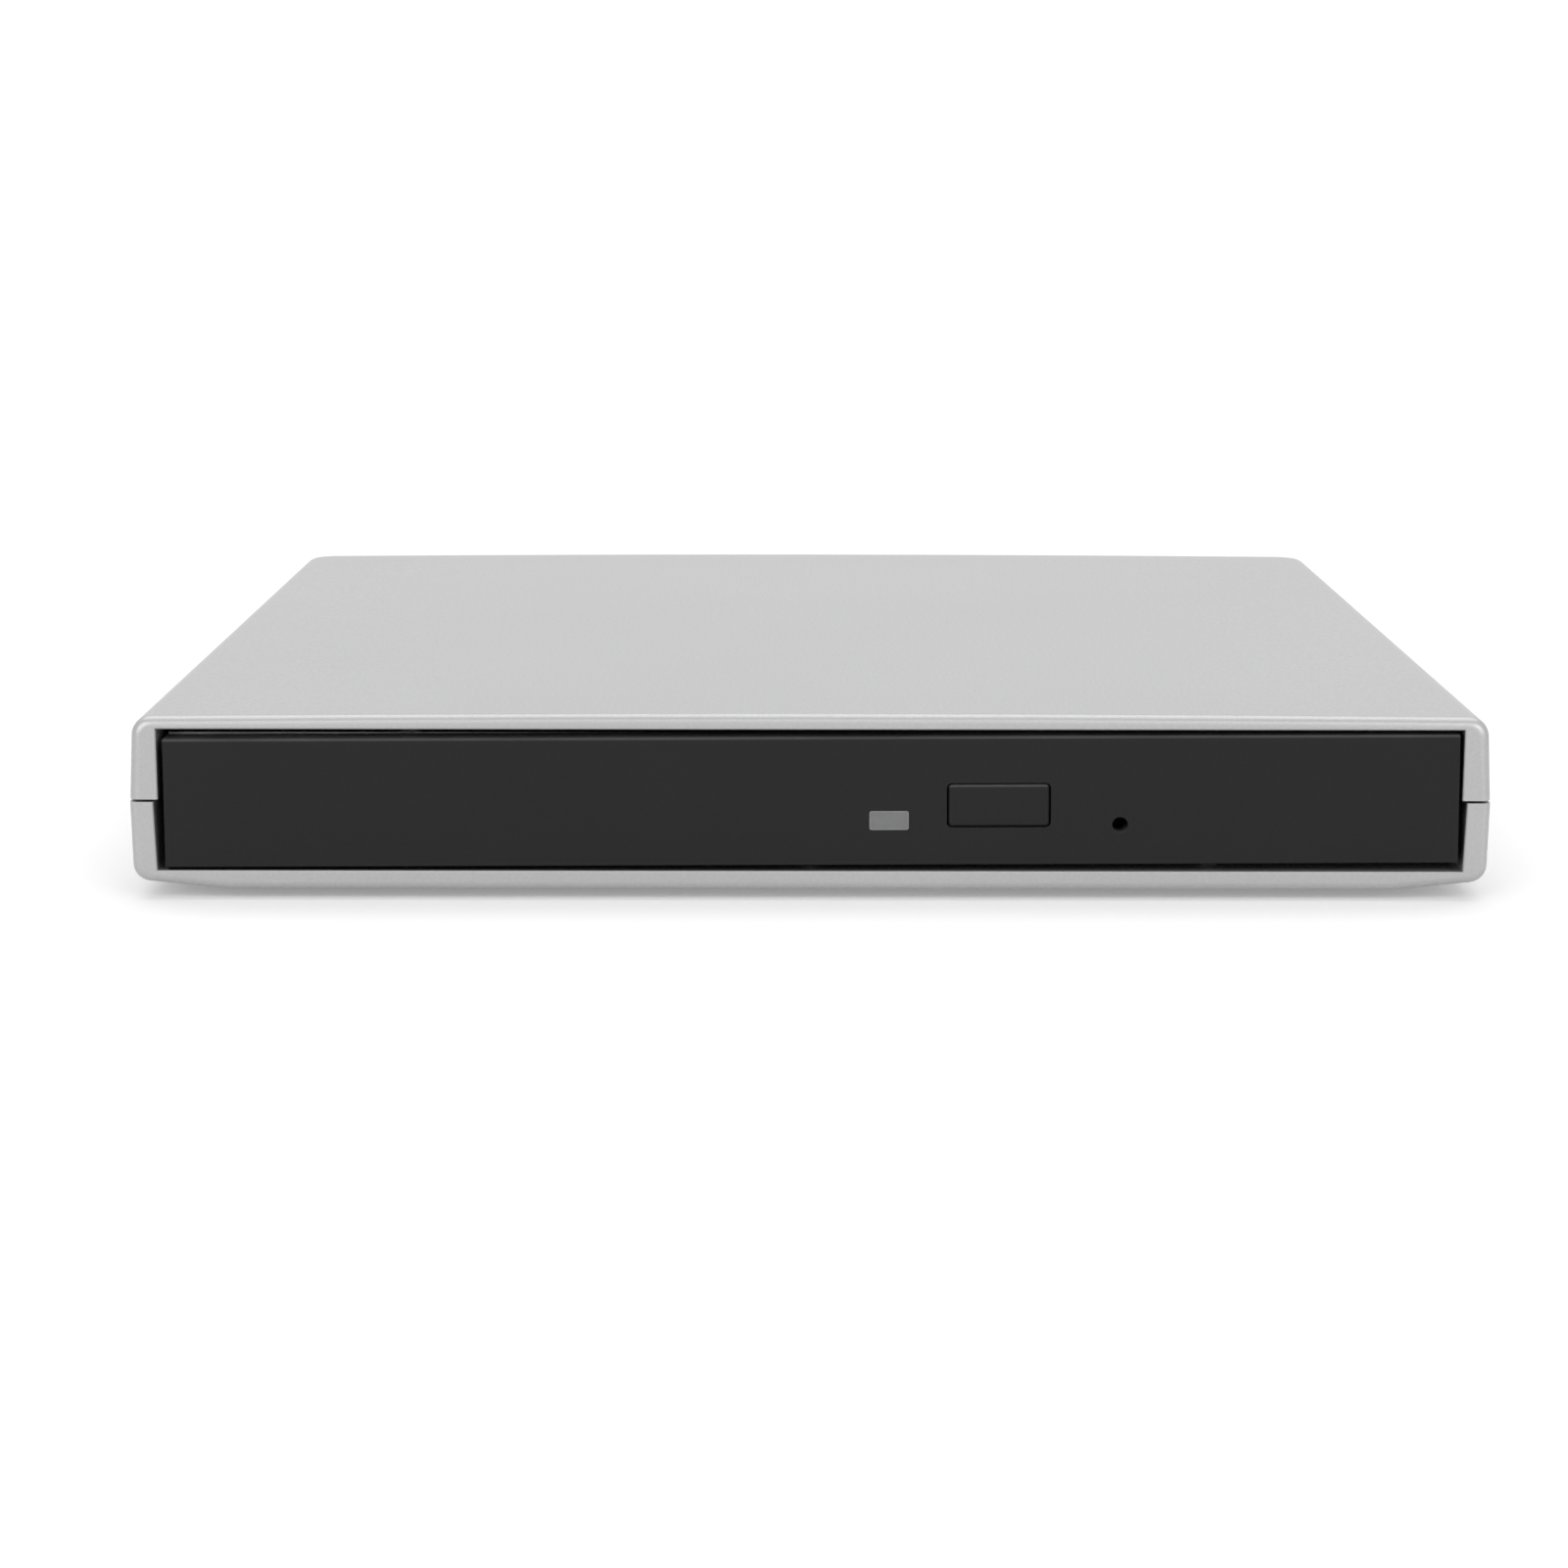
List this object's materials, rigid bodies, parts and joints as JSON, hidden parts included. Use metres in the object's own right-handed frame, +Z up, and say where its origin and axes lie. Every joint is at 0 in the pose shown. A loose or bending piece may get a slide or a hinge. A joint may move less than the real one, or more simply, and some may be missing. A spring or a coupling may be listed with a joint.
{
  "type": "external dvd drive",
  "caption": "Slim external disc drive: two-shell silver case open at the front, with a dark bezel on a motor-driven disc tray that slides out on telescoping rails.",
  "frame": {"origin": "middle of the case's length and width, on the surface that the rubber feet stand on", "axes": "+X right as seen from the front, +Y towards the back, +Z up; the tray slides out along -Y"},
  "size_m": [0.1346, 0.15, 0.0186],
  "materials": {
    "case_silver": "silver satin finish on moulded plastic",
    "foot_rubber": "matt black rubber",
    "screw_steel": "zinc-plated steel",
    "circuit_board": "green solder mask on glass fibre board",
    "chip_black": "black moulded component bodies",
    "socket_metal": "nickel-plated sheet",
    "connector_plastic": "black connector plastic",
    "sheet_steel": "galvanised sheet steel",
    "rail_plastic": "black acetal",
    "spring_steel": "spring wire",
    "cable_film": "flat cable film",
    "tray_plastic": "black moulded tray, fine texture",
    "bezel_plastic": "charcoal moulded plastic, fine texture",
    "lamp_lens": "smoked translucent light guide",
    "mechanism_steel": "stamped steel",
    "rod_steel": "ground steel",
    "stator_copper": "enamelled copper windings on a laminated core",
    "cover_black": "black painted thin plate",
    "pickup_metal": "zinc die casting",
    "lens_glass": "coated glass lens"
  },
  "bodies": {
    "case": {"upper_case": "case_silver", "lower_case": "case_silver", "foot_front_left": "foot_rubber", "foot_front_right": "foot_rubber", "foot_rear_left": "foot_rubber", "foot_rear_right": "foot_rubber", "case_screws": "screw_steel", "bridge_board": "circuit_board", "bridge_screws": "screw_steel", "bridge_components": "chip_black", "usb_socket": "socket_metal", "sata_socket": "connector_plastic", "sata_plug": "connector_plastic", "drive_chassis": "sheet_steel", "drive_cover": "sheet_steel", "cover_screws": "screw_steel", "rail_guide_left": "rail_plastic", "rail_guide_right": "rail_plastic", "main_board": "circuit_board", "main_board_chips": "chip_black", "latch_strike": "sheet_steel", "pusher_guide": "rail_plastic", "eject_spring": "spring_steel", "flat_cable": "cable_film"},
    "tray": {"tray": "tray_plastic", "tray_screws": "screw_steel", "dampers": "foot_rubber", "tray_shield": "sheet_steel", "bezel": "bezel_plastic", "lamp_window": "lamp_lens", "button_board": "circuit_board", "eject_switch": "chip_black", "status_lamp": "lamp_lens", "latch_solenoid": "socket_metal", "traverse_plate": "mechanism_steel", "guide_rod_main": "rod_steel", "guide_rod_sub": "rod_steel", "sled_motor": "socket_metal", "spindle_base": "mechanism_steel", "stator": "stator_copper", "mechanism_cover": "cover_black"},
    "rail_left": {"slide_rail_left": "rail_plastic"},
    "rail_right": {"slide_rail_right": "rail_plastic"},
    "eject_pusher": {"eject_pusher": "rail_plastic"},
    "eject_button": {"eject_button": "bezel_plastic"},
    "latch_hook": {"latch_hook": "rail_plastic"},
    "emergency_slider": {"emergency_slider": "rail_plastic"},
    "lead_screw": {"lead_screw": "rod_steel"},
    "spindle": {"rotor": "rod_steel", "turntable": "rail_plastic", "turntable_pad": "foot_rubber"},
    "pawl_1": {"chuck_pawl_1": "rail_plastic"},
    "pawl_2": {"chuck_pawl_2": "rail_plastic"},
    "pawl_3": {"chuck_pawl_3": "rail_plastic"},
    "pickup": {"pickup_body": "pickup_metal", "rack_nut": "rail_plastic", "actuator_cover": "sheet_steel"},
    "lens": {"lens_holder": "connector_plastic", "objective_lens": "lens_glass"}
  },
  "joints": [
    {"name": "tray_slide", "type": "slide", "parent": "case", "child": "tray", "axis": [0, -1, 0], "range_m": [0, 0.128], "deforming": ["flat_cable"]},
    {"name": "rail_left_slide", "type": "slide", "parent": "case", "child": "rail_left", "axis": [0, -1, 0], "range_m": [0, 0.064]},
    {"name": "rail_right_slide", "type": "slide", "parent": "case", "child": "rail_right", "axis": [0, -1, 0], "range_m": [0, 0.064]},
    {"name": "pusher_slide", "type": "slide", "parent": "case", "child": "eject_pusher", "axis": [0, -1, 0], "range_m": [0, 0.012], "deforming": ["eject_spring"]},
    {"name": "eject_button_press", "type": "slide", "parent": "tray", "child": "eject_button", "axis": [0, 1, 0], "range_m": [0, 0.0005], "stiffness_N_per_m": 800},
    {"name": "latch_hook_turn", "type": "hinge", "parent": "tray", "child": "latch_hook", "pos_m": [0.05, -0.0655, 0.00715], "axis": [0, 0, 1], "range_deg": [0, 14]},
    {"name": "emergency_slide", "type": "slide", "parent": "tray", "child": "emergency_slider", "axis": [0, -1, 0], "range_m": [0, 0.0039]},
    {"name": "spindle_spin", "type": "hinge", "parent": "tray", "child": "spindle", "pos_m": [0, -0.009, 0.013], "axis": [0, 0, 1], "continuous": true},
    {"name": "sled_slide", "type": "slide", "parent": "tray", "child": "pickup", "axis": [-0.7071, -0.7071, 0], "range_m": [0, 0.035]},
    {"name": "lead_screw_spin", "type": "hinge", "parent": "tray", "child": "lead_screw", "pos_m": [-0.0046, -0.04683, 0.0086], "axis": [-0.7071, -0.7071, 0], "continuous": true},
    {"name": "lens_focus", "type": "slide", "parent": "pickup", "child": "lens", "axis": [0, 0, 1], "range_m": [-0.0004, 0.0004], "stiffness_N_per_m": 40},
    {"name": "pawl_1_press", "type": "slide", "parent": "spindle", "child": "pawl_1", "axis": [0.7071, 0.7071, 0], "range_m": [0, 0.0003], "stiffness_N_per_m": 300},
    {"name": "pawl_2_press", "type": "slide", "parent": "spindle", "child": "pawl_2", "axis": [-0.9659, 0.2588, 0], "range_m": [0, 0.0003], "stiffness_N_per_m": 300},
    {"name": "pawl_3_press", "type": "slide", "parent": "spindle", "child": "pawl_3", "axis": [0.2588, -0.9659, 0], "range_m": [0, 0.0003], "stiffness_N_per_m": 300}
  ],
  "couplings": [
    {"joint": "rail_left_slide", "follows": "tray_slide", "ratio": 0.5},
    {"joint": "rail_right_slide", "follows": "tray_slide", "ratio": 0.5},
    {"joint": "pusher_slide", "follows": "tray_slide", "ratio": 0.09375},
    {"joint": "latch_hook_turn", "follows": "emergency_slide", "rad_per_m": 62.653},
    {"joint": "lead_screw_spin", "follows": "sled_slide", "rad_per_m": 2094.4}
  ]
}
